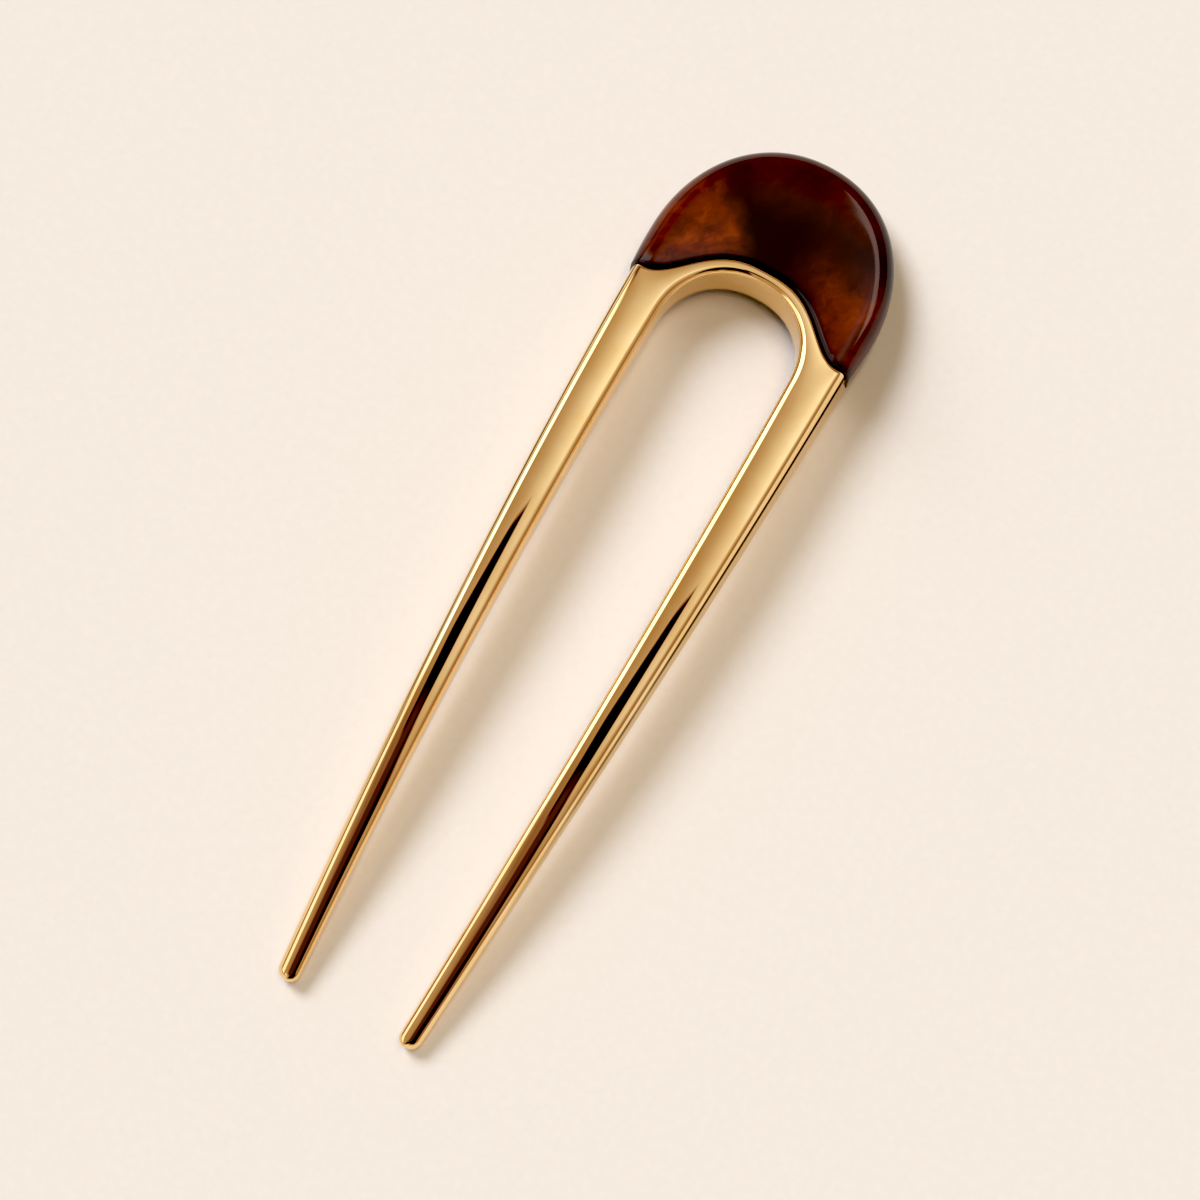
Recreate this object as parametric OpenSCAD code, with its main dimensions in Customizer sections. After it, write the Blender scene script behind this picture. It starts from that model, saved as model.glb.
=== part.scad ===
// French hair pin: a two-pronged gilt fork with a tortoiseshell crown seated over its arch.
// The pin lies along Y with the crown at +Y and the tips at -Y, and arches up in the middle.
// Its origin is the middle of the flat surface that it rests on.

/* [Overall] */
// Length along the surface it lies on, from the top of the crown to the prong tips
total_length = 125; // [110:1:140]
// Height by which the underside arches up at mid length
arch_rise = 5.5; // [3:0.1:8]

/* [Crown] */
// Length of the crown above the shoulders
crown_length = 25.2; // [22:0.1:29]
// How far the crown stands out past each shoulder
crown_swell = 0.35; // [0.1:0.05:1]
// Height of the crown's widest place above the shoulders
crown_belly = 6.2; // [4.5:0.1:9]
// How far the top of the crown stands above the metal beside it
crown_proud = 0.2; // [0:0.05:0.6]
// Height of the crowning of its top face
crown_dome = 0.35; // [0:0.05:0.8]
// Radius of the top edge round the outside
crown_edge = 2.8; // [2:0.1:3.2]
// Radius of the top edge along the metal
crown_seat_edge = 0.8; // [0.4:0.1:1.1]
// Radius of the edges underneath
crown_under_edge = 1; // [0.6:0.1:1.4]
// Squareness of the outline, where 2 is an ellipse
crown_squareness = 2.1; // [1.9:0.05:2.6]

/* [Fork] */
// Clear width between the prongs at the shoulders
prong_gap = 18.6; // [15:0.1:22]
// Width of a prong at the shoulders
root_width = 6.5; // [5.5:0.1:8]
// Width of a prong at its tip
tip_width = 2.9; // [2.7:0.1:4]
// Distance between the tips, from middle to middle
tip_spacing = 17.1; // [14:0.1:22]
// Thickness of the metal from the shoulders up
root_thickness = 6.2; // [5.4:0.1:7.5]
// Thickness of a prong at its tip
tip_thickness = 3; // [2.6:0.1:4]
// Plan radius of the blunt tips
tip_round = 1.3; // [1:0.05:1.4]
// Height of the top of the gap above the shoulders
gap_top = 5.45; // [4:0.05:8]
// Height of the arched end of the gap
gap_arch = 10.2; // [7:0.1:14]
// Width of the metal band over the gap
band_width = 1.4; // [1.1:0.05:2.5]
// Distance from the side of the gap to where the seat runs level
seat_run = 4.2; // [3:0.1:4.8]
// Height of the crowning of the top face
top_dome = 0.3; // [0:0.05:0.6]
// How far the outer walls lean in towards the top
side_lean = 0.35; // [0:0.05:0.6]
// Radius of the top edge outside the prongs
outer_edge = 1.15; // [0.6:0.05:1.2]
// Radius of the top edge round the gap
inner_edge = 0.75; // [0.4:0.05:1]
// Radius of the edges along the seat
seat_edge = 0.3; // [0.15:0.05:0.5]
// Radius of the edges underneath
under_edge = 0.7; // [0.4:0.05:0.9]

/* [Joint between crown and fork] */
// Width of the glue line all round
glue_gap = 0.1; // [0.05:0.01:0.2]
// Height of the tongue above the seat
tongue_height = 1.5; // [0.8:0.1:2]
// Thickness of the tongue
tongue_thickness = 2; // [1.2:0.1:2.6]
// Length of seat left plain beside each shoulder
tongue_margin = 5; // [4.8:0.1:7]

/* [Hidden] */

prong_length = total_length - crown_length;
shoulder_y = total_length / 2 - crown_length;
shoulder_half = prong_gap / 2 + root_width;
gap_centre = [0, shoulder_y + gap_top - gap_arch];
crown_half = shoulder_half + crown_swell;
crown_thickness = root_thickness + crown_proud;

// Shape numbers, chosen by eye: how late the prongs turn in towards the tips, how square
// the arched end of the gap is, how flat the seat is on top and how softly it runs out
prong_curve = 1.75;
gap_squareness = 2.17;
seat_flatness = 2.9;
seat_foot = 2.2;
// Largest share of the band, and of the tips' plan radius, that one rounded edge takes
edge_share = 0.33;
tip_edge_share = 0.9;
// Plain length beside a corner, in edge radii, so that the edges there don't cross
corner_clear = 1.25;
// Height of the tongue's chamfers, as a share of its thickness
tongue_chamfer = 0.125;
// Two edges count as one straight line when the cosine of the turn between them passes this
nearly_straight = 0.95;

// How finely the faces are cut
tip_steps = 5;
prong_steps = 15;
side_steps = 3;
seat_steps = 34;
belly_steps = 4;
edge_steps = 6;
top_steps = 4;

function mix(a, b, t) = a + (b - a) * t;
function mirrored(points) = [for (i = [len(points) - 1:-1:0]) [-points[i].x, points[i].y]];

// Height and slope of the arched underside above the surface, at a place along the pin
function rise(y) = arch_rise * (1 - pow(2 * y / total_length, 2));
function slope(y) = -8 * arch_rise * y / pow(total_length, 2);
// Plan point p, carried to a height above the underside and square to its arch
function bent(p, height) = let (k = slope(p.y))
    [p.x, p.y - height * k / norm([1, k]), rise(p.y) + height / norm([1, k])];

// Width, middle and thickness of a prong, by the share of the way from shoulder to tip
function share(y) = min(max((shoulder_y - y) / prong_length, 0), 1);
function prong_width(y) = mix(root_width, tip_width, share(y));
function prong_middle(y) =
    mix((prong_gap + root_width) / 2, tip_spacing / 2, pow(share(y), prong_curve));
function metal_thickness(y) = mix(root_thickness, tip_thickness, share(y));
function prong_point(y, side) = [prong_middle(y) + side * prong_width(y) / 2, y];

// Point of the seat: a flat-topped bell that runs out level to the shoulders
function seat_bell(x) =
    pow(1 - pow(min(abs(x) / (prong_gap / 2 + seat_run), 1), seat_flatness), seat_foot);
function seat_point(x) = [x, shoulder_y + (gap_top + band_width) * seat_bell(x)];

// Point on the gap's arched end, on the line from the gap's centre to p
function gap_point(p) = let (
        way = (p - gap_centre) / norm(p - gap_centre),
        across = way.x / prong_point(gap_centre.y, -1).x,
        along = max(way.y, 0) / gap_arch,
        reach = pow(pow(abs(across), gap_squareness) + pow(along, gap_squareness), -1 / gap_squareness)
    ) gap_centre + way * reach;

// One side of the right prong, from the tip up to the gap's arch; side is 1 outside, -1 inside
tip_y = shoulder_y - prong_length;
tip_radius = min(tip_round, tip_width / 2);
function tip_points(side) = [for (i = [0:tip_steps]) let (
        turn = 90 * i / tip_steps,
        y = tip_y + tip_radius * (1 - cos(turn))
    ) prong_point(y, side) - [side * tip_radius * (1 - sin(turn)), 0]];
function prong_points(side) = [for (i = [1:prong_steps])
    prong_point(mix(tip_y + tip_radius, gap_centre.y, i / prong_steps), side)];

// The seat from the right shoulder to the left one, with plain length beside its corners
seat_clear = corner_clear * max(crown_edge, outer_edge);
seat_step = 2 * (shoulder_half - seat_clear) / seat_steps;
seat = [for (x = concat([shoulder_half],
        [for (i = [0:seat_steps]) shoulder_half - seat_clear - i * seat_step],
        [-shoulder_half])) seat_point(x)];

// The fork's two rows of points, from the right tip over the arch to the left tip
beside_arch = [for (i = [1:side_steps])
    prong_point(mix(gap_centre.y, shoulder_y - seat_clear, i / side_steps), 1)];
prong_outer = concat(tip_points(1), prong_points(1), beside_arch);
prong_inner = concat(tip_points(-1), prong_points(-1), [for (p = beside_arch) gap_point(p)]);
fork_outer = concat(prong_outer, seat, mirrored(prong_outer));
fork_inner = concat(prong_inner, [for (p = seat) gap_point(p)], mirrored(prong_inner));
seat_first = len(prong_outer);
seat_last = seat_first + len(seat) - 1;

// Step that moves a point out by one distance from each of its two edges
function step_out(before, after, da, db) = let (k = before * after)
    k > nearly_straight ? (before + after) / norm(before + after) * (da + db) / 2
                        : (before * (da - k * db) + after * (db - k * da)) / (1 - k * k);
function outward(p, q) = [q.y - p.y, p.x - q.x] / norm(q - p);

// The crown's two rows of points, from the right corner to the left one: along the seat,
// clear of it by the glue line, and round the outline
seat_normals = [for (i = [0:len(seat) - 2]) outward(seat[i], seat[i + 1])];
crown_seat = [for (i = [0:len(seat) - 1])
    seat[i] + (i == 0 || i == len(seat) - 1 ? [0, glue_gap]
               : step_out(seat_normals[i - 1], seat_normals[i], glue_gap, glue_gap))];
belly_y = shoulder_y + crown_belly;
below_belly = [for (i = [0:belly_steps - 1]) let (
        drop = (1 - corner_clear * crown_edge / crown_belly) * (1 - i / belly_steps)
    ) [crown_half - crown_swell * drop * drop, belly_y - crown_belly * drop]];
outline_steps = len(seat) - 2 * belly_steps - 1;
above_belly = [for (i = [0:outline_steps]) let (
        turn = 180 * i / outline_steps,
        bend = 2 / crown_squareness
    ) [crown_half * sign(cos(turn)) * pow(abs(cos(turn)), bend),
       belly_y + (crown_length - crown_belly) * pow(sin(turn), bend)]];
crown_outline = concat(below_belly, above_belly, mirrored(below_belly));

// A slab with rounded edges, drawn between two rows of points, near and far, that run side by
// side. Its rim goes out along the far row and back along the near row, and the lists over,
// under, lean and out have one value for each edge of the rim: the radius of the top edge, the
// radius of the bottom edge, how far the wall leans in and how far a tongue stands out of it,
// or a groove goes into it when negative. The tongue lies between the heights low and high.
module slab(near, far, over, under, lean, out, low, high, thickness, dome) {
    n = len(far);
    count = 2 * n;
    points = concat(far, [for (i = [n - 1:-1:0]) near[i]]);
    function last(i) = (i + count - 1) % count;
    function next(i) = (i + 1) % count;
    normals = [for (i = [0:count - 1]) outward(points[i], points[next(i)])];
    function moved(outs) = [for (i = [0:count - 1])
        points[i] + step_out(normals[last(i)], normals[i], outs[last(i)], outs[i])];

    // Values at the points of the rim
    top_radius = [for (i = [0:count - 1]) max(over[last(i)], over[i])];
    low_radius = [for (i = [0:count - 1]) max(under[last(i)], under[i])];
    beside_tongue = [for (i = [0:count - 1])
        len([for (k = [last(last(i)), last(i), i, next(i)]) if (out[k] != 0) k]) > 0];
    swell = [for (i = [0:count - 1]) let (k = min(i, count - 1 - i))
        dome * min(norm(far[k] - near[k]) / root_width, 1)];
    chamfer = tongue_chamfer * (high - low);
    levels = [low - chamfer, low, high, high + chamfer];
    stands_out = [0, 1, 1, 0];

    under_rings = [for (k = [0:edge_steps]) let (
            turn = 90 * k / edge_steps,
            ring = moved([for (r = under) -r * (1 - sin(turn))])
        ) [for (i = [0:count - 1]) bent(ring[i], low_radius[i] * (1 - cos(turn)))]];
    wall_rings = [for (k = [0:len(levels) - 1]) let (
            up = (k + 1) / (len(levels) + 1),
            ring = moved([for (i = [0:count - 1]) stands_out[k] * out[i] - lean[i] * up])
        ) [for (i = [0:count - 1]) let (
            wall_top = thickness(ring[i].y) - swell[i] - top_radius[i]
        ) bent(ring[i], beside_tongue[i] ? levels[k] : mix(low_radius[i], wall_top, up))]];
    over_rings = [for (k = [0:edge_steps]) let (
            turn = 90 * k / edge_steps,
            ring = moved([for (i = [0:count - 1]) -lean[i] - over[i] * (1 - cos(turn))])
        ) [for (i = [0:count - 1])
            bent(ring[i], thickness(ring[i].y) - swell[i] - top_radius[i] * (1 - sin(turn)))]];
    rings = concat(under_rings, wall_rings, over_rings);
    lid_rim = moved([for (i = [0:count - 1]) -lean[i] - over[i]]);
    crowning = [for (i = [1:n - 2], j = [1:top_steps - 1]) let (
            t = j / top_steps,
            p = mix(lid_rim[count - 1 - i], lid_rim[i], t)
        ) bent(p, thickness(p.y) + swell[i] * (4 * t * (1 - t) - 1))];

    // The lid's rows run from the near side to the far side, and its two end rows are bare edges
    top_ring = (len(rings) - 1) * count;
    function lid_point(i, j) = let (
            end_row = i == 0 || i == n - 1,
            side = !end_row ? j : j > top_steps / 2 ? top_steps : 0
        ) side == 0 ? top_ring + count - 1 - i
        : side == top_steps ? top_ring + i
        : top_ring + count + (i - 1) * (top_steps - 1) + j - 1;
    function halves(a, b, c, d) =
        [if (a != b && b != c) [a, b, c], if (c != d && d != a) [a, c, d]];
    walls = [for (k = [0:len(rings) - 2], i = [0:count - 1]) let (
            here = k * count,
            above = here + count
        ) each halves(here + i, above + i, above + next(i), here + next(i))];
    lid = [for (i = [0:n - 2], j = [0:top_steps - 1])
        each halves(lid_point(i, j), lid_point(i + 1, j),
                    lid_point(i + 1, j + 1), lid_point(i, j + 1))];
    base = [for (i = [0:n - 2]) each halves(count - 1 - i, i, i + 1, count - 2 - i)];
    polyhedron(points = concat([for (ring = rings) each ring], crowning),
               faces = concat(walls, lid, base));
}

// Edges that carry the tongue, given the seat point at each end; the groove has some room more
function tongue_edge(p, q, room = 0) =
    max(abs(p.x), abs(q.x)) < shoulder_half - tongue_margin + room;
tongue_low = (root_thickness - tongue_thickness) / 2;
tongue_high = (root_thickness + tongue_thickness) / 2;

// The gilt fork: both prongs, the shoulders and the band over the gap, with the tongue on it
module fork() {
    n = len(fork_outer);
    edges = [0:2 * n - 1];
    function on_seat(i) = i >= seat_first && i < seat_last;
    // Rounded edges give way where the band is narrow, and at the tips
    function fitted(radius, i) = let (k = min(i, 2 * n - 2 - i))
        on_seat(k) ? min(radius, edge_share * norm(fork_outer[k] - fork_inner[k]),
                         edge_share * norm(fork_outer[k + 1] - fork_inner[k + 1]))
                   : min(radius, tip_edge_share * tip_radius);
    over = [for (i = edges)
        fitted(on_seat(i) ? seat_edge : i < n - 1 ? outer_edge : inner_edge, i)];
    under = [for (i = edges) fitted(on_seat(i) ? seat_edge : under_edge, i)];
    lean = [for (i = edges)
        i < n - 1 && !on_seat(i) ? side_lean * (1 - share(fork_outer[i].y)) : 0];
    out = [for (i = edges)
        on_seat(i) && tongue_edge(fork_outer[i], fork_outer[i + 1]) ? tongue_height : 0];
    color("goldenrod")
        slab(fork_inner, fork_outer, over, under, lean, out, tongue_low, tongue_high,
             function (y) metal_thickness(y), top_dome);
}

// The tortoiseshell crown, grooved to fit over the tongue
module crown() {
    n = len(crown_outline);
    edges = [0:2 * n - 1];
    function on_seat(i) = i >= n && i < 2 * n - 1;
    over = [for (i = edges) on_seat(i) ? crown_seat_edge : crown_edge];
    under = [for (i = edges) crown_under_edge];
    lean = [for (i = edges) 0];
    out = [for (i = edges)
        on_seat(i) && tongue_edge(seat[2 * n - 1 - i], seat[2 * n - 2 - i], seat_step)
            ? -tongue_height - glue_gap : 0];
    color("saddlebrown")
        slab(crown_seat, crown_outline, over, under, lean, out,
             tongue_low - glue_gap, tongue_high + glue_gap, function (y) crown_thickness, crown_dome);
}

fork();
crown();
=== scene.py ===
import bpy
import numpy as np
from mathutils import Matrix, Vector


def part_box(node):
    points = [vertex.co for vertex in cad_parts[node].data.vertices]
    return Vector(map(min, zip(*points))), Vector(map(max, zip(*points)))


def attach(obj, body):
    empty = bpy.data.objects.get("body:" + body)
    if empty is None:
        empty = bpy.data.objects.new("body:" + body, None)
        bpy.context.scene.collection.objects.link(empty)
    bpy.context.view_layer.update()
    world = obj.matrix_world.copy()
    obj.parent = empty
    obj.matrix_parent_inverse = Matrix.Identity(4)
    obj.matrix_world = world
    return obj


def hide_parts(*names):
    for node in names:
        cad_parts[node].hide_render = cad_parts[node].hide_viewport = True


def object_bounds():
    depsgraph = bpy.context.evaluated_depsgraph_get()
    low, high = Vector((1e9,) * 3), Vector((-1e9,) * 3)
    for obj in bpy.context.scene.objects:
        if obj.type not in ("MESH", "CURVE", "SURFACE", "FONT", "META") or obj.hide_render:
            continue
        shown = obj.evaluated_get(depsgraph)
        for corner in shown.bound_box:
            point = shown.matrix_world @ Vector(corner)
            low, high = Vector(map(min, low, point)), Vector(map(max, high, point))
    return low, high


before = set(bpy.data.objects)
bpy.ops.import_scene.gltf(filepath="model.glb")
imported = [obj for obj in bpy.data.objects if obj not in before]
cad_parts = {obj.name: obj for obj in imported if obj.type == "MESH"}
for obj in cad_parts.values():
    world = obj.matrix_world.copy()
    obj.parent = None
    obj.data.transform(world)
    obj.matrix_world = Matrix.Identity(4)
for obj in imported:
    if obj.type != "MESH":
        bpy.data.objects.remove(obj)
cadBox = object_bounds()
print("frame loaded:", ", ".join(sorted(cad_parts)))

# The french hair pin lies along Y, crown at +Y and tips at -Y, and everything is in metres.
mm = 0.001
pin = {
    "underLength": 125 * mm,   # along the surface, from the crown's end to the tips
    "crownLength": 25.2 * mm,  # from the shoulders to the crown's end
    "archRise": 5.5 * mm,      # how far the underside stands off the floor at mid length
    "glueGap": 0.1 * mm,
    "inset": 0.02 * mm,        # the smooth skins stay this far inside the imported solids
    "smallStep": 0.01 * mm,    # for slopes, and the least distance that is divided by
    "widestEdge": 0.42,        # an edge's rows take at most this share of the width
}
halfLength = pin["underLength"] / 2
shoulderY = halfLength - pin["crownLength"]
prongLength = pin["underLength"] - pin["crownLength"]
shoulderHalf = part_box("fork")[1].x
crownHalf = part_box("crown")[1].x


def mix(a, b, share):
    # a where the share is 0 and b where it is 1
    return a + (b - a) * share


def smoothStep(low, high, value):
    # 3 t^2 - 2 t^3, where t runs from 0 at low to 1 at high
    t = np.clip((value - low) / (high - low), 0, 1)
    return t * t * (3 - 2 * t)


def bend(x, y, height):
    # The underside is archRise (1 - (y / halfLength)^2); a height stands square to it
    slope = -2 * pin["archRise"] * y / halfLength ** 2
    long = np.sqrt(1 + slope ** 2)
    under = pin["archRise"] * (1 - (y / halfLength) ** 2)
    return np.stack([x, y - height * slope / long, under + height / long], axis=-1)


def edgeDrop(distance, width, height):
    # A quarter ellipse: height (1 - sqrt(1 - ((width - distance) / width)^2)) inside the width
    reach = np.clip(1 - distance / width, 0, 1)
    return height * (1 - np.sqrt(1 - reach ** 2))


def joinDrops(*drops):
    # Rounded edges that meet: square root of the sum of the squares
    return np.sqrt(sum(drop ** 2 for drop in drops))


def lengthAlong(line):
    # The sum of the steps up to each point of a line
    return np.append(0, np.cumsum(np.hypot(*np.diff(line, axis=0).T)))


def spacedAlong(line, spacingAt, count):
    # Places on a fine line, so that the steps between them are in proportion to spacingAt
    length = lengthAlong(line)
    density = 1 / spacingAt(length)
    grown = np.append(0, np.cumsum((density[1:] + density[:-1]) / 2 * np.diff(length)))
    return np.interp(np.linspace(0, grown[-1], count), grown, np.arange(len(line)))


def pickAlong(line, places):
    # The points at those places, straight between the line's own points
    steps = np.arange(len(line))
    return np.column_stack([np.interp(places, steps, column) for column in line.T])


def acrossRows(width, nearEdge, farEdge, edgeRows, lidRows):
    # Distances across a strip: width of edge times (1 - cos) at each side, even steps between
    turn = np.linspace(0, np.pi / 2, edgeRows)
    near = np.minimum(nearEdge, pin["widestEdge"] * width)[:, None]
    far = np.minimum(farEdge, pin["widestEdge"] * width)[:, None]
    inside = np.linspace(0, 1, lidRows + 2)[1:-1]
    lid = near + (width[:, None] - near - far) * inside
    farRows = width[:, None] - (far * (1 - np.cos(turn)))[:, ::-1]
    return np.hstack([near * (1 - np.cos(turn)), lid, farRows])


def loopPiece(name, upper, lower, wallRows):
    # A closed skin: over the top from the first side to the last, down the wall, back under
    # the bottom and up the other wall, for each station, with both ends capped. The fourth
    # number of each point, its distance from an edge, is kept as an attribute.
    share = np.linspace(0, 1, wallRows + 2)[1:-1, None, None]
    down = np.transpose(upper[:, -1] + (lower[:, -1] - upper[:, -1]) * share, (1, 0, 2))
    up = np.transpose(lower[:, 0] + (upper[:, 0] - lower[:, 0]) * share, (1, 0, 2))
    loops = np.concatenate([upper, down, lower[:, ::-1], up], axis=1)
    stations, rows = loops.shape[:2]
    corner = np.arange(stations * rows).reshape(stations, rows)
    here, beside = corner[:-1], np.roll(corner[:-1], -1, axis=1)
    ahead, across = corner[1:], np.roll(corner[1:], -1, axis=1)
    quads = np.stack([here, ahead, across, beside], axis=-1).reshape(-1, 4)
    caps = [corner[0].tolist(), corner[-1, ::-1].tolist()]
    mesh = bpy.data.meshes.new(name)
    mesh.from_pydata(loops[..., :3].reshape(-1, 3).tolist(), [], quads.tolist() + caps)
    mesh.attributes.new("fromEdge", "FLOAT", "POINT").data.foreach_set("value", loops[..., 3].ravel())
    mesh.shade_smooth()
    piece = bpy.data.objects.new(name, mesh)
    bpy.context.scene.collection.objects.link(piece)
    return piece


def withDistance(points, distance):
    # Each point with its distance from an edge as a fourth number
    return np.concatenate([points, (distance + 0 * points[..., 0])[..., None]], axis=-1)


def bothSides(half):
    # The right half from its end to the middle, then the left half back, mirrored in X
    other = half[:-1][::-1].copy()
    other[..., 0] *= -1
    return np.concatenate([half, other])


# Polished fork

fork = {
    "rootWidth": 6.5 * mm, "tipWidth": 2.9 * mm, "tipSpacing": 17.1 * mm,
    "rootThickness": 6.2 * mm, "tipThickness": 3 * mm, "tipRound": 1.3 * mm,
    "gapTop": 5.45 * mm, "gapArch": 10.2 * mm, "bandWidth": 1.4 * mm, "seatRun": 4.2 * mm,
    "topDome": 0.3 * mm, "sideLean": 0.35 * mm,
    "outerEdge": 1.15 * mm, "shoulderEdge": 1.25 * mm, "edgeGrowth": 14 * mm,
    "outerTall": (2.1, 1.2),   # height of the outer edge over its width, at the root and the tip
    "innerEdge": 0.75 * mm, "innerRootEdge": 0.95 * mm, "underEdge": 0.7 * mm,
    "edgeBlend": 0.2,          # share of half the width where the outer edge turns into the inner
    "seatEdge": 0.3 * mm, "cornerEdge": 0.9 * mm, "cornerFrom": 11.5 * mm, "leanFrom": 12.5 * mm,
    "prongCurve": 1.75, "gapSquareness": 2.17, "seatFlatness": 2.9, "seatFoot": 2.2,
    "bandEdgeShare": 0.4,
    # Points on the fine outline: round the tip, up the prong, beside the arch and over the seat
    "tipPoints": 200, "prongPoints": 800, "archPoints": 400, "seatPoints": 2000,
    "stations": 420, "edgeRows": 20, "lidRows": 18, "underRows": 7, "wallRows": 5,
    # Steps between stations: at the corner and at the tip, how they grow with distance, and the most
    "cornerStep": 0.03 * mm, "tipStep": 0.05 * mm, "stepGrowth": 0.09, "widestStep": 0.42 * mm,
    "leastGradient": 1e-6,
}
gapHalf = shoulderHalf - fork["rootWidth"]
gapY = shoulderY + fork["gapTop"] - fork["gapArch"]


def prongShare(y):
    # 0 at the shoulders and 1 at the tips, even along y
    return np.clip((shoulderY - y) / prongLength, 0, 1)


def prongEdge(y, side):
    # middle plus side times half the width; the width shrinks evenly, the middle turns in late
    share = prongShare(y)
    middle = mix(gapHalf + fork["rootWidth"] / 2, fork["tipSpacing"] / 2, share ** fork["prongCurve"])
    return middle + side * mix(fork["rootWidth"], fork["tipWidth"], share) / 2


def wallLean(y):
    # How far the outer wall's top stands in: sideLean at the shoulders, nothing at the tips
    return fork["sideLean"] * (1 - prongShare(y))


def seatHeight(x):
    # A flat-topped bell, (1 - across^flatness)^foot, that runs out level to the shoulders
    across = np.clip(np.abs(x) / (gapHalf + fork["seatRun"]), 0, 1)
    bell = (1 - across ** fork["seatFlatness"]) ** fork["seatFoot"]
    return shoulderY + (fork["gapTop"] + fork["bandWidth"]) * bell


def seatSlope(x):
    # The rise from a small step before to a small step after, over both steps
    step = pin["smallStep"]
    return (seatHeight(x + step) - seatHeight(x - step)) / (2 * step)


def seatDistance(x, y):
    # How far a place lies below the seat's line: the rise to it over sqrt(1 + slope^2)
    return (seatHeight(x) - y) / np.sqrt(1 + seatSlope(x) ** 2)


def gapReach(x, y):
    # How far out a place lies as a share of the gap's arched end, a superellipse
    across = np.abs(x) / prongEdge(gapY, -1)
    along = np.maximum(y - gapY, 0) / fork["gapArch"]
    power = fork["gapSquareness"]
    return (across ** power + along ** power) ** (1 / power)


def gapPoint(line):
    # The place on the gap's end that lies on the way from the gap's middle to a point
    reach = gapReach(line[:, 0], line[:, 1])[:, None]
    middle = np.array([0, gapY])
    return middle + (line - middle) / reach


def gapDistance(x, y):
    # (reach - 1) over the length of its gradient, near enough a true distance at the edge
    step = pin["smallStep"]
    reach = gapReach(x, y)
    gradient = np.hypot(gapReach(x + step, y) - reach, gapReach(x, y + step) - reach) / step
    return (reach - 1) / np.maximum(gradient, fork["leastGradient"])


def outerEdgeAt(y):
    # The outer edge's radius, shoulderEdge at the shoulder and outerEdge lower down
    grown = 1 - np.exp(-np.maximum(shoulderY - y, 0) / fork["edgeGrowth"])
    return mix(fork["shoulderEdge"], fork["outerEdge"], grown)


def forkDome(x, y):
    # topDome times the square of the place across, -1 at the outer wall or the seat and 1 at
    # the inner wall; the outer wall and the seat join as (a^-4 + b^-4)^(-1/4)
    least = pin["smallStep"]
    toInner = np.maximum(np.where(y > gapY, gapDistance(x, y), x - prongEdge(y, -1)), least)
    toWall = np.maximum(prongEdge(y, 1) - x, least)
    toSeat = np.maximum(seatDistance(x, y), least)
    toOuter = (toWall ** -4 + toSeat ** -4) ** -0.25
    width = toOuter + toInner
    across = (toOuter - toInner) / width
    return fork["topDome"] * np.minimum(width / fork["rootWidth"], 1) * across ** 2


def forkDrop(x, y, outerEdge, innerEdge, seatEdge, leaning):
    # How far a face drops at its rounded edges: on a prong by the distance in from its outline,
    # with the tip's corners as quarter circles, and on the band by the distances to outer wall,
    # seat and gap; leaning is 1 for the top face and 0 for the underside
    innerEdge = innerEdge + 0 * x
    outerEdge = outerEdge + 0 * x
    outer = prongEdge(y, 1) - leaning * wallLean(y)
    inner = prongEdge(y, -1)
    middle, half = (outer + inner) / 2, (outer - inner) / 2
    side = np.abs(x - middle) - (half - fork["tipRound"])
    end = -halfLength + fork["tipRound"] - y
    inTo = fork["tipRound"] - np.hypot(np.maximum(side, 0), np.maximum(end, 0))
    inTo = np.where((side > 0) | (end > 0), inTo, fork["tipRound"])
    outerShare = smoothStep(-fork["edgeBlend"], fork["edgeBlend"], (x - middle) / half)
    edge = mix(innerEdge, outerEdge, outerShare)
    tall = mix(1, mix(*fork["outerTall"], prongShare(y)), leaning * outerShare)
    onProng = edgeDrop(inTo, edge, edge * tall)
    toSeat = seatDistance(x, y)
    corner = smoothStep(fork["cornerFrom"], shoulderHalf, np.abs(x))
    seat = mix(seatEdge, np.maximum(seatEdge, fork["cornerEdge"] * leaning), corner)
    onBand = joinDrops(edgeDrop(outer - x, outerEdge, outerEdge * tall), edgeDrop(toSeat, seat, seat),
                       edgeDrop(gapDistance(x, y), innerEdge, innerEdge))
    return np.where(y > gapY, onBand, onProng)


def forkOutlines():
    # The right half's outer outline, a quarter circle at the tip, then the prong's edge and the
    # seat, with the inner outline's place for each of its points
    turn = np.linspace(0, np.pi / 2, fork["tipPoints"])
    tipRows = -halfLength + fork["tipRound"] * (1 - np.cos(turn))
    inset = fork["tipRound"] * (1 - np.sin(turn))
    prongRows = np.linspace(tipRows[-1], gapY, fork["prongPoints"])[1:]
    archRows = np.linspace(gapY, shoulderY, fork["archPoints"])[1:]
    seatRows = np.linspace(shoulderHalf, 0, fork["seatPoints"])[1:]
    tipOuter = np.column_stack([prongEdge(tipRows, 1) - inset, tipRows])
    tipInner = np.column_stack([prongEdge(tipRows, -1) + inset, tipRows])
    prongOuter = np.column_stack([prongEdge(prongRows, 1), prongRows])
    prongInner = np.column_stack([prongEdge(prongRows, -1), prongRows])
    archOuter = np.column_stack([prongEdge(archRows, 1), archRows])
    seat = np.column_stack([seatRows, seatHeight(seatRows)])
    outerLine = np.vstack([tipOuter, prongOuter, archOuter, seat])
    innerLine = np.vstack([tipInner, prongInner, gapPoint(archOuter), gapPoint(seat)])
    return outerLine, innerLine, len(outerLine) - len(seat)


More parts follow.
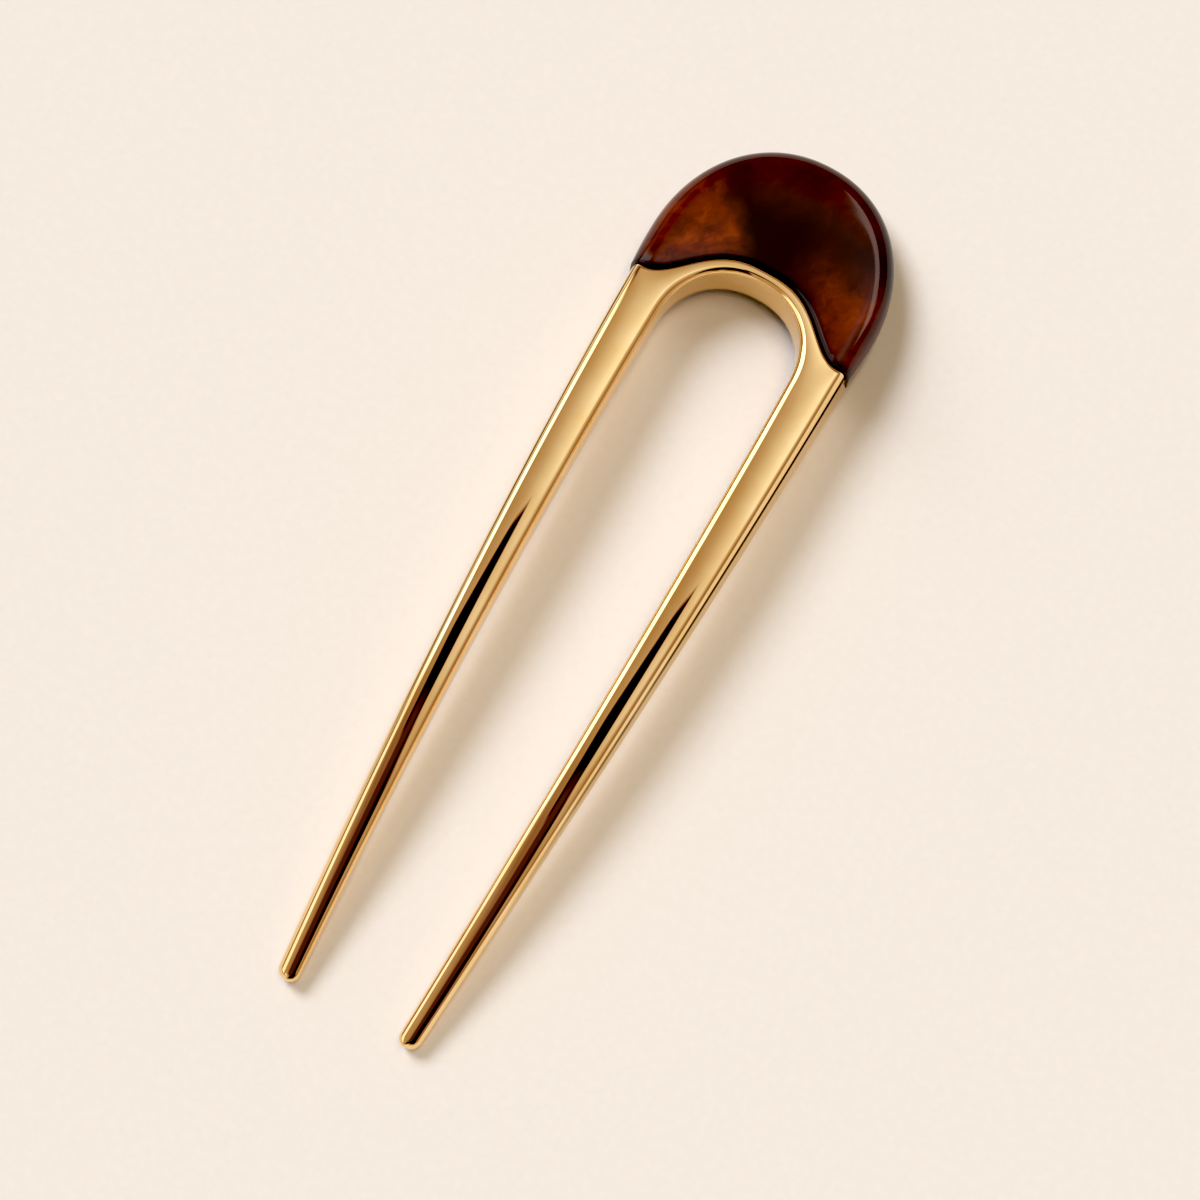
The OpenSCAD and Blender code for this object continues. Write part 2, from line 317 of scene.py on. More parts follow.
def buildFork():
    # At each station the rows run straight across from the outer outline to the inner one; the
    # top's height is thickness - dome - drop, and the underside's is its own drop
    outerLine, innerLine, seatStart = forkOutlines()
    cornerAt = lengthAlong(outerLine)[seatStart - 1]

    def spacing(length):
        # A small step at the tip and at the corner, which grows with the distance from both
        atCorner = fork["cornerStep"] + fork["stepGrowth"] * np.abs(length - cornerAt)
        atTip = fork["tipStep"] + fork["stepGrowth"] * length
        return np.minimum(np.minimum(atCorner, atTip), fork["widestStep"])

    places = spacedAlong(outerLine, spacing, fork["stations"])
    outer, inner = pickAlong(outerLine, places), pickAlong(innerLine, places)
    onSeat = smoothStep(fork["leanFrom"], shoulderHalf, outer[:, 0])
    inShift = wallLean(outer[:, 1]) * np.where(outer[:, 1] < shoulderY, 1, onSeat)
    outerTop = outer - np.column_stack([inShift, np.zeros(len(outer))])

    width = np.hypot(*(outerTop - inner).T)
    bandEdge = np.tanh(fork["bandEdgeShare"] * width / fork["innerEdge"])
    bandEdge = np.where(outer[:, 1] > gapY, bandEdge, 1)
    corner = smoothStep(fork["cornerFrom"], shoulderHalf, outer[:, 0])
    nearEdge = np.where(places > seatStart, mix(fork["seatEdge"], fork["outerEdge"], corner),
                        fork["outerEdge"])
    innerEdge = mix(fork["innerRootEdge"], fork["innerEdge"], prongShare(outer[:, 1])) * bandEdge
    share = acrossRows(width, nearEdge, innerEdge, fork["edgeRows"], fork["lidRows"]) / width[:, None]
    x = mix(outerTop[:, :1], inner[:, :1], share)
    y = mix(outerTop[:, 1:], inner[:, 1:], share)
    thickness = mix(fork["rootThickness"], fork["tipThickness"], prongShare(y)) - pin["inset"]
    drop = forkDrop(x, y, outerEdgeAt(y), innerEdge[:, None], fork["seatEdge"], 1)
    fromWall = prongEdge(y, 1) - wallLean(y) - x
    upper = withDistance(bend(x, y, thickness - forkDome(x, y) - drop), fromWall)
    share = acrossRows(width, nearEdge, innerEdge, fork["underRows"], fork["underRows"]) / width[:, None]
    x = mix(outer[:, :1], inner[:, :1], share)
    y = mix(outer[:, 1:], inner[:, 1:], share)
    lift = forkDrop(x, y, fork["underEdge"], fork["underEdge"] * bandEdge[:, None], fork["seatEdge"], 0)
    lower = withDistance(bend(x, y, lift + pin["inset"]), 0)
    return loopPiece("gilt_fork", bothSides(upper), bothSides(lower), fork["wallRows"])


forkPiece = buildFork()
print("fork:", len(forkPiece.data.polygons), "faces")


# Tortoiseshell crown

crown = {
    "swell": 0.35 * mm, "belly": 6.2 * mm, "squareness": 2.1,
    "thickness": 6.4 * mm, "dome": 0.35 * mm,
    "rimWidth": 3 * mm, "rimHeight": 2.8 * mm, "seatEdge": 0.8 * mm, "underEdge": 1 * mm,
    "endStations": 2,          # left off where the crown ends in a line at each shoulder
    # Points on the fine outlines: along the seat, up the wall to the belly and round the end
    "seatPoints": 2000, "lowPoints": 500, "highPoints": 1500,
    "stations": 300, "edgeRows": 16, "lidRows": 26, "wallRows": 5,
    # Steps between stations: at the shoulder, how they grow, and the most on each outline
    "endStep": 0.04 * mm, "stepGrowth": 0.06, "seatStep": 0.16 * mm, "outlineStep": 0.3 * mm,
    "leastReach": 1e-6, "leastGradient": 1e-3,
}
bellyY = shoulderY + crown["belly"]
crownTop = halfLength - bellyY - pin["inset"]


def outlineDistance(x, y):
    # Above the belly (1 - reach) over its gradient, reach being a superellipse's share;
    # below it the wall swells by swell times the square of the drop from the belly
    power = crown["squareness"]
    across = np.abs(x) / crownHalf
    along = np.maximum(y - bellyY, 0) / crownTop
    reach = np.maximum((across ** power + along ** power) ** (1 / power), crown["leastReach"])
    gradient = np.hypot(across ** (power - 1) / crownHalf, along ** (power - 1) / crownTop)
    above = (1 - reach) * reach ** (power - 1) / np.maximum(gradient, crown["leastGradient"])
    drop = np.clip((bellyY - y) / crown["belly"], 0, 1)
    below = crownHalf - crown["swell"] * drop ** 2 - np.abs(x)
    return np.where(y > bellyY, above, below)


def crownOutlines():
    # The right half's seat line, the fork's seat moved out square by the glue gap, and its outline,
    # the swelling wall and then a superellipse: cos^(2 / power) across and sin^(2 / power) along
    seatRows = np.linspace(shoulderHalf, 0, crown["seatPoints"])
    slope = seatSlope(seatRows)
    normal = np.column_stack([-slope, np.ones(len(slope))]) / np.sqrt(1 + slope ** 2)[:, None]
    seatLine = np.column_stack([seatRows, seatHeight(seatRows)]) + pin["glueGap"] * normal
    rows = np.linspace(seatLine[0, 1], bellyY, crown["lowPoints"])[:-1]
    drop = (bellyY - rows) / crown["belly"]
    lowPart = np.column_stack([crownHalf - crown["swell"] * drop ** 2, rows])
    turn = np.linspace(0, np.pi / 2, crown["highPoints"])
    bendPower = 2 / crown["squareness"]
    highPart = np.column_stack([crownHalf * np.cos(turn).clip(0) ** bendPower,
                                bellyY + crownTop * np.sin(turn) ** bendPower])
    return seatLine, np.vstack([lowPart, highPart])


def crownStations(line, widest):
    # Points on an outline, with steps that grow from the shoulder up to the widest
    def spacing(length):
        return np.minimum(crown["endStep"] + crown["stepGrowth"] * length, widest)

    return pickAlong(line, spacedAlong(line, spacing, crown["stations"]))[crown["endStations"]:]


def buildCrown():
    # At each station the rows run straight across from the outline to the seat; the top's height
    # is thickness - dome - drop, and the underside's is its own drop
    seatLine, outlineLine = crownOutlines()
    seat = crownStations(seatLine, crown["seatStep"])
    outline = crownStations(outlineLine, crown["outlineStep"])
    width = np.hypot(*(outline - seat).T)
    share = acrossRows(width, crown["rimWidth"], crown["seatEdge"],
                       crown["edgeRows"], crown["lidRows"]) / width[:, None]
    x = mix(outline[:, :1], seat[:, :1], share)
    y = mix(outline[:, 1:], seat[:, 1:], share)
    toRim = outlineDistance(x, y).clip(0)
    toSeat = (-seatDistance(x, y) - pin["glueGap"]).clip(0)
    dome = crown["dome"] * np.minimum(width / fork["rootWidth"], 1)[:, None] * (2 * share - 1) ** 2
    drop = joinDrops(edgeDrop(toRim, crown["rimWidth"], crown["rimHeight"]),
                     edgeDrop(toSeat, crown["seatEdge"], crown["seatEdge"]))
    upper = bend(x, y, crown["thickness"] - pin["inset"] - dome - drop)
    lift = joinDrops(edgeDrop(toRim, crown["underEdge"], crown["underEdge"]),
                     edgeDrop(toSeat, crown["underEdge"], crown["underEdge"]))
    lower = bend(x, y, lift + pin["inset"])
    upper, lower = (withDistance(points, toSeat) for points in (upper, lower))
    return loopPiece("tortoiseshell_crown", bothSides(upper), bothSides(lower), crown["wallRows"])


crownPiece = buildCrown()
print("crown:", len(crownPiece.data.polygons), "faces")


# Materials

def newMaterial(name):
    material = bpy.data.materials.new(name)
    material.use_nodes = True
    return material, material.node_tree, material.node_tree.nodes["Principled BSDF"]


def addNode(tree, kind, inputs=None, **settings):
    # Inputs are linked where they are sockets and set where they are values
    node = tree.nodes.new(kind)
    for name, value in settings.items():
        setattr(node, name, value)
    for key, value in (inputs or {}).items():
        if isinstance(value, bpy.types.NodeSocket):
            tree.links.new(value, node.inputs[key])
        else:
            node.inputs[key].default_value = value
    return node


def mathOf(tree, operation, first, second=0.0):
    # One step of arithmetic on numbers
    return addNode(tree, "ShaderNodeMath", {0: first, 1: second}, operation=operation).outputs[0]


def mixOf(tree, share, first, second):
    # First where the share is 0, second where it is 1, for numbers
    return addNode(tree, "ShaderNodeMix", {0: share, 2: first, 3: second}).outputs[0]


def tintOf(tree, share, first, second):
    # The same for colours
    return addNode(tree, "ShaderNodeMix", {0: share, 6: first, 7: second}, data_type="RGBA").outputs[2]


def noiseAt(tree, place, scale, detail=3.0, roughness=0.55, long=(1, 1, 1), turn=0.0):
    # Noise drawn out by long along axes that are turned about Z
    mapping = addNode(tree, "ShaderNodeMapping", {"Vector": place, "Scale": long, "Rotation": (0, 0, turn)},
                      vector_type="TEXTURE")
    return addNode(tree, "ShaderNodeTexNoise", {"Vector": mapping.outputs[0], "Scale": scale,
                   "Detail": detail, "Roughness": roughness})


def scaledBy(tree, color, share):
    # A colour or a place times a number
    return addNode(tree, "ShaderNodeVectorMath", {0: color, "Scale": share}, operation="SCALE").outputs[0]


def rangeOf(tree, value, low, high, toLow=0.0, toHigh=1.0, smooth=False):
    # toLow where the value is low, toHigh where it is high, and even or smooth in between
    return addNode(tree, "ShaderNodeMapRange", {"Value": value, "From Min": low, "From Max": high,
                   "To Min": toLow, "To Max": toHigh},
                   interpolation_type="SMOOTHSTEP" if smooth else "LINEAR").outputs["Result"]


def rampOf(tree, value, stops):
    # A colour ramp with a stop for each (position, colour)
    node = addNode(tree, "ShaderNodeValToRGB", {0: value})
    elements = node.color_ramp.elements
    elements.remove(elements[-1])
    elements[0].position, elements[0].color = stops[0][0], (*stops[0][1], 1)
    for position, color in stops[1:]:
        elements.new(position).color = (*color, 1)
    return node.outputs[0]


gold = {
    "deep": (0.91, 0.63, 0.28, 1), "bright": (0.97, 0.71, 0.37, 1),
    "cloudScale": 130, "cloudSpan": (0.35, 0.65),
    "roughness": (0.012, 0.04), "hazeScale": 420, "hazeSpan": (0.3, 0.7),
    "scratchScale": 2200, "scratchLong": (1, 20, 1), "scratchDepth": 0.00025 * mm,
    "waveScale": 160, "waveLong": (1, 3, 1), "waveDepth": 0.0012 * mm,
    # A fine painted dark line along the top of the outer wall, in place of a dark reflection
    # there: its distance from the wall on the left prong and on the right one, and the x between
    # which the one passes into the other
    "lineAt": (0.46 * mm, 0.2 * mm), "lineTurn": (-1 * mm, 1 * mm),
    "lineHalf": (0.05 * mm, 0.15 * mm),   # half its width where it is darkest and where it ends
    "paintedLineShade": (0.12, 0.5),             # how dark the painted line is, patch by patch
    "patchScale": 90, "patchLong": (1, 3, 1), "patchSpan": (0.4, 0.6),
    "lineFade": (-50 * mm, -22 * mm),     # it fades out towards the tips
}


def goldMaterial():
    material, tree, shader = newMaterial("polished_gilt")
    place = addNode(tree, "ShaderNodeTexCoord").outputs["Object"]
    fromWall = addNode(tree, "ShaderNodeAttribute", attribute_name="fromEdge").outputs["Fac"]
    x, y = addNode(tree, "ShaderNodeSeparateXYZ", {0: place}).outputs[:2]
    # Painted shade: base colour and edge tint darken along a line at the top of the outer wall, in place of
    # a dark reflection
    lineAt = rangeOf(tree, x, *gold["lineTurn"], *gold["lineAt"])
    away = mathOf(tree, "ABSOLUTE", mathOf(tree, "SUBTRACT", fromWall, lineAt))
    patchy = noiseAt(tree, place, gold["patchScale"], long=gold["patchLong"]).outputs[0]
    darkest = rangeOf(tree, patchy, *gold["patchSpan"], *gold["paintedLineShade"])
    faded = mixOf(tree, rangeOf(tree, y, *gold["lineFade"], smooth=True), 1.0, darkest)
    paintedShade = rangeOf(tree, away, *gold["lineHalf"], faded, 1.0, smooth=True)
    cloud = noiseAt(tree, place, gold["cloudScale"]).outputs[0]
    plain = tintOf(tree, rangeOf(tree, cloud, *gold["cloudSpan"]), gold["deep"], gold["bright"])
    tree.links.new(scaledBy(tree, plain, paintedShade), shader.inputs["Base Color"])
    tree.links.new(scaledBy(tree, (1, 1, 1), paintedShade), shader.inputs["Specular Tint"])
    shader.inputs["Metallic"].default_value = 1
    haze = noiseAt(tree, place, gold["hazeScale"], detail=5).outputs[0]
    rough = rangeOf(tree, haze, *gold["hazeSpan"], *gold["roughness"])
    tree.links.new(rough, shader.inputs["Roughness"])
    scratches = noiseAt(tree, place, gold["scratchScale"], detail=2, long=gold["scratchLong"]).outputs[0]
    waves = noiseAt(tree, place, gold["waveScale"], detail=1, long=gold["waveLong"]).outputs[0]
    waveBump = addNode(tree, "ShaderNodeBump", {"Height": waves, "Distance": gold["waveDepth"]}).outputs[0]
    bump = addNode(tree, "ShaderNodeBump", {"Height": scratches, "Distance": gold["scratchDepth"],
                   "Normal": waveBump}).outputs[0]
    tree.links.new(bump, shader.inputs["Normal"])
    return material


resin = {
    # Colour from the dark heart to the clearest amber
    "shades": ((0.0, (0.005, 0.0003, 0.0002)), (0.25, (0.034, 0.0045, 0.0018)),
               (0.5, (0.076, 0.0104, 0.0019)), (0.75, (0.15, 0.0195, 0.0016)),
               (1.0, (0.26, 0.042, 0.0024))),
    "topGlow": (51.5 * mm, 57.5 * mm, 0.28),           # from y, to y, amount
    # From x, to x, from y, to y, amount, and how far x leans over for each step up from leanY
    "leftGlow": (-1.8 * mm, -7 * mm, 59 * mm, 50.5 * mm, 1.06, 0.6),
    "rightGlow": (2 * mm, 9.5 * mm, 54.5 * mm, 46 * mm, 0.75, 0.4),
    "leanY": 45.6 * mm,
    "leftFade": (-14 * mm, -8 * mm, 0.7),   # the left glow's share at the rim, growing to 1
    "seam": (0.4 * mm, 1.4 * mm), "paintedSeamShade": 0.2,    # painted shade beside the seam, clear further off
    "warpScale": 150, "warp": 7 * mm,                  # how far the clouds are stirred
    # Clouds and strands, drawn out along the crown's slant: span of the noise, then its share
    "slant": -0.35,
    "cloudScale": 260, "cloudLong": (1, 2.2, 1), "cloudShare": (0.32, 0.66, 0.4, 1.0),
    "strandScale": 620, "strandLong": (1, 3.5, 1), "strandShare": (0.35, 0.7, -0.08, 0.22),
    "topShare": (0.35, 0.65, 0.7, 1.5),                # the same for the clouds in the top glow
    "gloss": 0.32, "roughness": (0.07, 0.11), "hazeScale": 500, "hazeSpan": (0.3, 0.7),
}


def resinMaterial():
    material, tree, shader = newMaterial("tortoiseshell_resin")
    place = addNode(tree, "ShaderNodeTexCoord").outputs["Object"]
    stirred = noiseAt(tree, place, resin["warpScale"]).outputs[1]
    middle = (0.5, 0.5, 0.5)   # of the noise's colours
    offset = addNode(tree, "ShaderNodeVectorMath", {0: stirred, 1: middle}, operation="SUBTRACT").outputs[0]
    moved = scaledBy(tree, offset, resin["warp"])
    warped = addNode(tree, "ShaderNodeVectorMath", {0: place, 1: moved}, operation="ADD").outputs[0]
    x, y = addNode(tree, "ShaderNodeSeparateXYZ", {0: warped}).outputs[:2]

    def slantedNoise(scale, detail, long):
        return noiseAt(tree, warped, scale, detail, 0.6, long, resin["slant"]).outputs[0]

    def glowOf(fromX, toX, fromY, toY, amount, lean):
        # A smooth step across, which leans over with y, times a smooth step along and an amount
        leaned = mathOf(tree, "MULTIPLY", mathOf(tree, "SUBTRACT", y, resin["leanY"]), lean)
        across = rangeOf(tree, mathOf(tree, "ADD", x, leaned), fromX, toX, smooth=True)
        along = rangeOf(tree, y, fromY, toY, smooth=True)
        return mathOf(tree, "MULTIPLY", mathOf(tree, "MULTIPLY", across, along), amount)

    clouds = slantedNoise(resin["cloudScale"], 5, resin["cloudLong"])
    strands = slantedNoise(resin["strandScale"], 4, resin["strandLong"])
    wispy = mathOf(tree, "ADD", rangeOf(tree, clouds, *resin["cloudShare"]),
                   rangeOf(tree, strands, *resin["strandShare"]))
    atRim, inland, rimShare = resin["leftFade"]
    fade = rangeOf(tree, x, atRim, inland, rimShare)
    leftGlow = mathOf(tree, "MULTIPLY", glowOf(*resin["leftGlow"]), fade)
    glow = mathOf(tree, "ADD", leftGlow, glowOf(*resin["rightGlow"]))
    fromTop, toTop, topAmount = resin["topGlow"]
    top = mathOf(tree, "MULTIPLY", rangeOf(tree, y, fromTop, toTop, 0.0, topAmount, smooth=True),
                 rangeOf(tree, clouds, *resin["topShare"]))
    color = rampOf(tree, mathOf(tree, "ADD", mathOf(tree, "MULTIPLY", glow, wispy), top), resin["shades"])
    # Painted shade: the resin's colour darkens beside the seam with the fork
    fromSeam = addNode(tree, "ShaderNodeAttribute", attribute_name="fromEdge").outputs["Fac"]
    paintedShade = rangeOf(tree, fromSeam, *resin["seam"], resin["paintedSeamShade"], 1.0, smooth=True)
    tree.links.new(scaledBy(tree, color, paintedShade), shader.inputs["Base Color"])
    haze = noiseAt(tree, place, resin["hazeScale"], detail=4).outputs[0]
    rough = rangeOf(tree, haze, *resin["hazeSpan"], *resin["roughness"])
    tree.links.new(rough, shader.inputs["Roughness"])
    shader.inputs["Specular IOR Level"].default_value = resin["gloss"]
    return material


forkPiece.data.materials.append(goldMaterial())
crownPiece.data.materials.append(resinMaterial())
for piece, node, slot in ((forkPiece, "fork", "gilt_metal"), (crownPiece, "crown", "tortoiseshell_resin")):
    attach(piece, "root")
    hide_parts(node)
print("materials on")


# Floor

floor = {
    "half": 3.0, "paper": (0.918, 0.836, 0.74, 1), "fleck": (0.938, 0.859, 0.765, 1),
    "grainScale": 900, "grainSpan": (0.3, 0.7),
}


def buildFloor():
    # One square under the pin, level with the lowest point of the solids
    half, level = floor["half"], cadBox[0][2]
    corners = [(-half, -half, level), (half, -half, level), (half, half, level), (-half, half, level)]
    mesh = bpy.data.meshes.new("floor")
    mesh.from_pydata(corners, [], [(0, 1, 2, 3)])
    piece = bpy.data.objects.new("floor", mesh)
    bpy.context.scene.collection.objects.link(piece)
    material, tree, shader = newMaterial("pale_paper")
    place = addNode(tree, "ShaderNodeTexCoord").outputs["Object"]
    grain = noiseAt(tree, place, floor["grainScale"]).outputs[0]
    paper = tintOf(tree, rangeOf(tree, grain, *floor["grainSpan"]), floor["paper"], floor["fleck"])
    tree.links.new(paper, shader.inputs["Base Color"])
    shader.inputs["Roughness"].default_value = 1
    shader.inputs["Specular IOR Level"].default_value = 0
    mesh.materials.append(material)


# Lights

# Broad suns: a cool one from the left, a pale one high up on the crown's side, a warm one straight
# overhead, and a lower and broader one from the left whose shadow only the crown casts
suns = {
    "key": {"from": (-0.618, 0.179, 0.765), "angle": 26, "strength": 2.177, "color": (0.774, 0.849, 1.0)},
    "back": {"from": (0.093, 0.228, 0.969), "angle": 16, "strength": 0.408, "color": (1.0, 0.952, 0.746)},
    "top": {"from": (0.13, -0.075, 0.989), "angle": 18, "strength": 0.73, "color": (1.0, 0.739, 0.478)},
    "far": {"from": (-0.769, 0.358, 0.53), "angle": 44, "strength": 1.245, "color": (0.905, 0.952, 1.0)},
}
gleam = {"from": (0.34, 0.70, 0.60), "along": (0.92, -0.31, -0.25), "away": 0.6, "size": (0.5, 0.1),
         "radiance": 4.4, "color": (1.0, 0.69, 0.62)}


def addLight(name, data, direction, away, along=(1, 0, 0)):
    # Shines from a direction, with its own X axis as near to along as it goes
    toward = Vector(direction).normalized()
    light = bpy.data.objects.new(name, data)
    side = Vector(along) - toward * toward.dot(Vector(along))
    side.normalize()
    turned = Matrix((side, toward.cross(side), toward)).transposed().to_4x4()
    light.matrix_world = Matrix.Translation(toward * away) @ turned
    bpy.context.scene.collection.objects.link(light)
    return light


def collectionOf(name, piece):
    group = bpy.data.collections.new(name)
    group.objects.link(piece)
    return group


def buildSuns():
    for name, sun in suns.items():
        data = bpy.data.lights.new(name, "SUN")
        data.angle = np.radians(sun["angle"])
        data.energy = sun["strength"]
        data.color = sun["color"]
        light = addLight(name, data, sun["from"], 1)   # a sun shines alike from any distance
        light.visible_glossy = False
        if name == "far":
            light.light_linking.blocker_collection = collectionOf("far_blockers", crownPiece)


def buildGleam():
    # A softbox that shines on the crown alone and only in its gloss
    data = bpy.data.lights.new("gleam", "AREA")
    data.shape = "RECTANGLE"
    data.size, data.size_y = gleam["size"]
    data.energy = gleam["radiance"] * np.pi * gleam["size"][0] * gleam["size"][1]
    data.color = gleam["color"]
    light = addLight("gleam", data, gleam["from"], gleam["away"], gleam["along"])
    light.visible_diffuse = False
    light.light_linking.receiver_collection = collectionOf("gleam_on", crownPiece)


# Studio

# What the gloss sees: radiance by direction, x to the right and y to the crown
studio = {
    "fill": (0.05, 0.05, 0.05),
    "backdrop": (0.93, 0.83, 0.74),
    # Radiance from left to right, overhead towards the crown, straight up and towards the tips
    "crownward": ((-0.3, 0.5), (-0.2, 0.6), (-0.1, 0.76), (0.0, 0.95), (0.1, 1.2), (0.16, 1.15),
                  (0.3, 0.88), (0.4, 0.67), (0.53, 0.6), (0.7, 0.47)),
    "upward": ((-0.28, 0.46), (-0.15, 0.55), (0.0, 0.76), (0.08, 0.86), (0.18, 0.84), (0.36, 0.78),
               (0.54, 0.64), (0.7, 0.52), (0.85, 0.35)),
    "tipward": ((-0.3, 0.48), (-0.22, 0.39), (-0.16, 0.28), (0.0, 0.35), (0.1, 0.6), (0.3, 0.55),
                (0.6, 0.5)),
    "lean": 0.9, "leanY": -0.15,   # the tipward band leans: x plus lean times (y - leanY)
    # The y between which one band passes into the next
    "toUpward": (-0.1, 0.08), "toCrownward": (0.14, 0.36),
    # Warmth of a radiance: dim parts of the room are brown, bright ones white
    "warmth": ((0.0, (1, 0.42, 0.6)), (0.09, (1, 0.44, 0.62)), (0.15, (1, 0.43, 0.45)),
               (0.3, (1, 0.58, 0.38)), (0.46, (1, 0.73, 0.48)), (0.67, (1, 0.88, 0.76)), (1.0, (1, 1, 1))),
    "brightest": 1.05,
    # Cards and windows, painted in this order: radiance, softness, corners, lowest and highest z
    "cards": {
        "crownSideDim": (0.3, 0.05, ((-1.1, 0.66), (1.1, 0.66), (1.1, 1.1), (-1.1, 1.1)), -1, 2),
        "window": (2.6, 0.035, ((-1.1, 0.0), (-0.36, 0.0), (-0.36, 0.37), (-1.1, 0.37)), 0.19, 0.9),
        "windowLow": (1.35, 0.05, ((-0.92, 0.0), (-0.92, -1.1), (-0.1, -1.1), (-0.5, 0.0)), 0.12, 2),
        "windowFoot": (0.05, 0.05, ((-1.1, -1.1), (-0.36, -1.1), (-0.36, 1.1), (-1.1, 1.1)), -1, 0.14),
        "shoulderDark": (0.12, 0.05, ((-1.1, 0.42), (-0.38, 0.42), (-0.38, 1.1), (-1.1, 1.1)), 0.4, 2),
        "tipwardDim": (0.5, 0.08, ((-0.5, -1.1), (0.1, -1.1), (0.1, -0.4), (-0.5, -0.4)), -1, 2),
        "cardRight": (0.02, 0.03, ((0.04, -0.09), (0.04, -1.1), (1.2, -1.1), (1.2, -0.29)), 0.36, 2),
        "cardEdge": (0.01, 0.02, ((-0.14, -0.03), (-0.1, -0.17), (-0.02, -0.3), (0.15, -0.3),
                                  (0.14, -0.17), (0.01, -0.03)), -1, 2),
        "cardEnd": (0.01, 0.04, ((-0.02, -0.26), (0.06, -0.42), (0.1, -0.7), (0.75, -0.7),
                                 (0.8, -0.36), (0.3, -0.26)), -1, 2),
        "cardTip": (0.01, 0.01, ((-0.115, 0.165), (-0.2, 0.05), (-0.165, -0.06), (0.01, -0.06),
                                 (-0.025, 0.192)), -1, 2),
        "cardCore": (0.085, 0.02, ((-0.13, -0.02), (-0.09, -0.38), (0.07, -0.38), (-0.03, -0.02)), -1, 2),
        "rightDark": (0.34, 0.07, ((0.36, -0.3), (1.2, -0.3), (1.2, 0.6), (0.36, 0.6)), 0.14, 0.5),
        "rightLight": (0.8, 0.04, ((0.3, -1.1), (1.2, -1.1), (1.2, 0.6), (0.3, 0.6)), -1, 0.12),
    },
}


def bandOf(tree, across, stops):
    # Radiance along a band: a ramp from x = -1 to 1, which holds half the radiance
    ramp = [((x + 1) / 2, (value / 2,) * 3) for x, value in stops]
    return mathOf(tree, "MULTIPLY", rampOf(tree, rangeOf(tree, across, -1.0, 1.0), ramp), 2.0)


def cardMask(tree, direction, height, soft, corners, lowest, highest):
    # 1 inside a convex outline and between two heights, with soft edges: the product of one
    # smooth step for each side
    corners = np.array(corners)
    middle = corners.mean(axis=0)
    mask = mathOf(tree, "MULTIPLY", rangeOf(tree, height, lowest - soft, lowest + soft, smooth=True),
                 rangeOf(tree, height, highest + soft, highest - soft, smooth=True))
    for start, end in zip(corners, np.roll(corners, -1, axis=0)):
        along = (end - start) / np.hypot(*(end - start))
        inward = np.array([-along[1], along[0]])
        inward = inward if inward @ (middle - start) > 0 else -inward
        reach = addNode(tree, "ShaderNodeVectorMath", {0: direction, 1: (*inward, 0)},
                        operation="DOT_PRODUCT")
        edge = float(inward @ start)
        side = rangeOf(tree, reach.outputs["Value"], edge - soft, edge + soft, smooth=True)
        mask = mathOf(tree, "MULTIPLY", mask, side)
    return mask


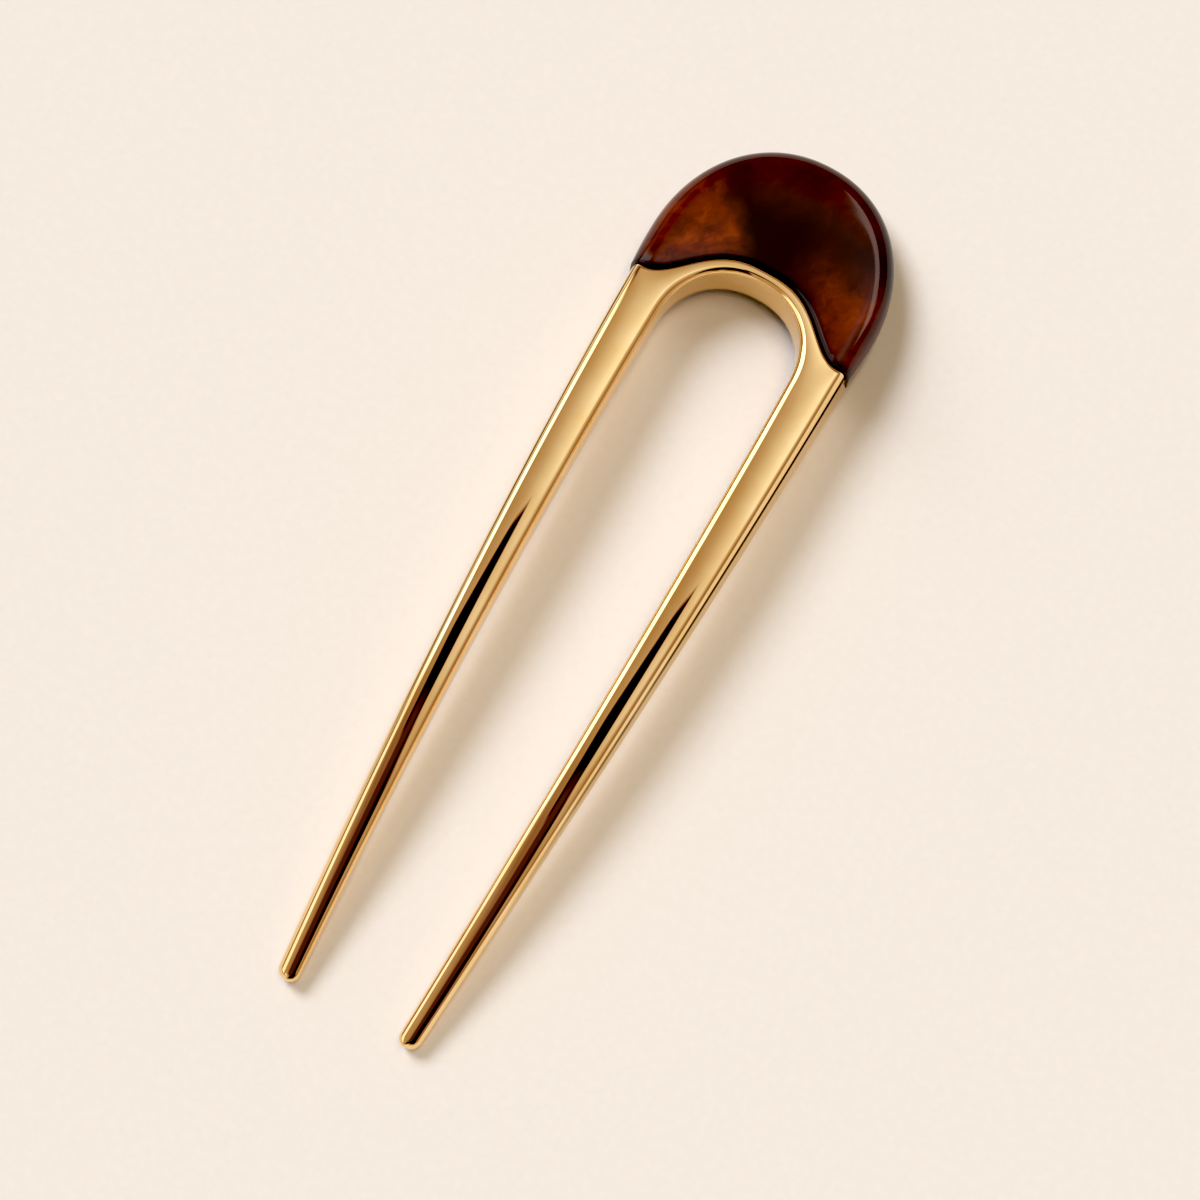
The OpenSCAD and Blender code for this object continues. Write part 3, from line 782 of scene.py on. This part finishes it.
def buildStudio():
    # Gloss sees the bands with the cards over them, the camera sees the backdrop, and all else,
    # such as gloss seen from the floor, gets the dim fill
    world = bpy.data.worlds.new("studio")
    bpy.context.scene.world = world
    world.use_nodes = True
    tree = world.node_tree
    direction = addNode(tree, "ShaderNodeTexCoord").outputs["Generated"]
    x, y, z = addNode(tree, "ShaderNodeSeparateXYZ", {0: direction}).outputs
    leaned = mathOf(tree, "MULTIPLY", mathOf(tree, "SUBTRACT", y, studio["leanY"]), studio["lean"])
    tipward = bandOf(tree, mathOf(tree, "ADD", x, leaned), studio["tipward"])
    upward = bandOf(tree, x, studio["upward"])
    crownward = bandOf(tree, x, studio["crownward"])
    value = mixOf(tree, rangeOf(tree, y, *studio["toUpward"], smooth=True), tipward, upward)
    value = mixOf(tree, rangeOf(tree, y, *studio["toCrownward"], smooth=True), value, crownward)
    for radiance, soft, corners, lowest, highest in studio["cards"].values():
        mask = cardMask(tree, direction, z, soft, corners, lowest, highest)
        value = mixOf(tree, mask, value, radiance)
    warmth = rampOf(tree, mathOf(tree, "DIVIDE", value, studio["brightest"]), studio["warmth"])
    gloss = addNode(tree, "ShaderNodeBackground", {"Color": warmth, "Strength": value})
    fill = addNode(tree, "ShaderNodeBackground", {"Color": (*studio["fill"], 1)})
    backdrop = addNode(tree, "ShaderNodeBackground", {"Color": (*studio["backdrop"], 1)})
    rays = addNode(tree, "ShaderNodeLightPath")
    seen = addNode(tree, "ShaderNodeMixShader", {0: rays.outputs["Is Camera Ray"], 1: fill.outputs[0],
                   2: backdrop.outputs[0]}).outputs[0]
    direct = mathOf(tree, "LESS_THAN", rays.outputs["Diffuse Depth"], 0.5)   # no bounce off the floor yet
    mirrored = mathOf(tree, "MULTIPLY", rays.outputs["Is Glossy Ray"], direct)
    whole = addNode(tree, "ShaderNodeMixShader", {0: mirrored, 1: seen, 2: gloss.outputs[0]}).outputs[0]
    tree.links.new(whole, tree.nodes["World Output"].inputs[0])


# Camera and tones

view = {
    "azimuth": 24.3, "elevation": 76.0, "roll": 5.0, "away": 500 * mm,
    "target": (1.56 * mm, -1.14 * mm, 0.0), "lens": 118.16, "sensor": 36, "nearest": 10 * mm,
}


def buildCamera():
    # Looks at the target from the azimuth and elevation, turned by the roll about its own axis
    azimuth, elevation, roll = (np.radians(view[key]) for key in ("azimuth", "elevation", "roll"))
    level = np.array([-np.sin(azimuth), np.cos(azimuth)]) * np.cos(elevation)
    forward = Vector((*level, -np.sin(elevation)))
    right = Vector((np.cos(azimuth), np.sin(azimuth), 0))
    up = right.cross(forward)
    turned = right * np.cos(roll) + up * np.sin(roll)
    upright = up * np.cos(roll) - right * np.sin(roll)
    data = bpy.data.cameras.new("camera")
    data.sensor_width = view["sensor"]
    data.lens = view["lens"]
    data.clip_start = view["nearest"]
    camera = bpy.data.objects.new("camera", data)
    bpy.context.scene.collection.objects.link(camera)
    place = Vector(view["target"]) - forward * view["away"]
    axes = Matrix((turned, upright, -forward)).transposed().to_4x4()
    camera.matrix_world = Matrix.Translation(place) @ axes
    bpy.context.scene.camera = camera


tones = {"blackLevel": (0.016, 0.018, 0.018)}


def setTones():
    # Standard view with the photograph's deep blacks
    settings = bpy.context.scene.view_settings
    settings.view_transform = "Standard"
    settings.use_curve_mapping = True
    settings.curve_mapping.black_level = tones["blackLevel"]
    settings.curve_mapping.update()


buildFloor()
buildSuns()
buildGleam()
buildStudio()
buildCamera()
setTones()
print("stage set")
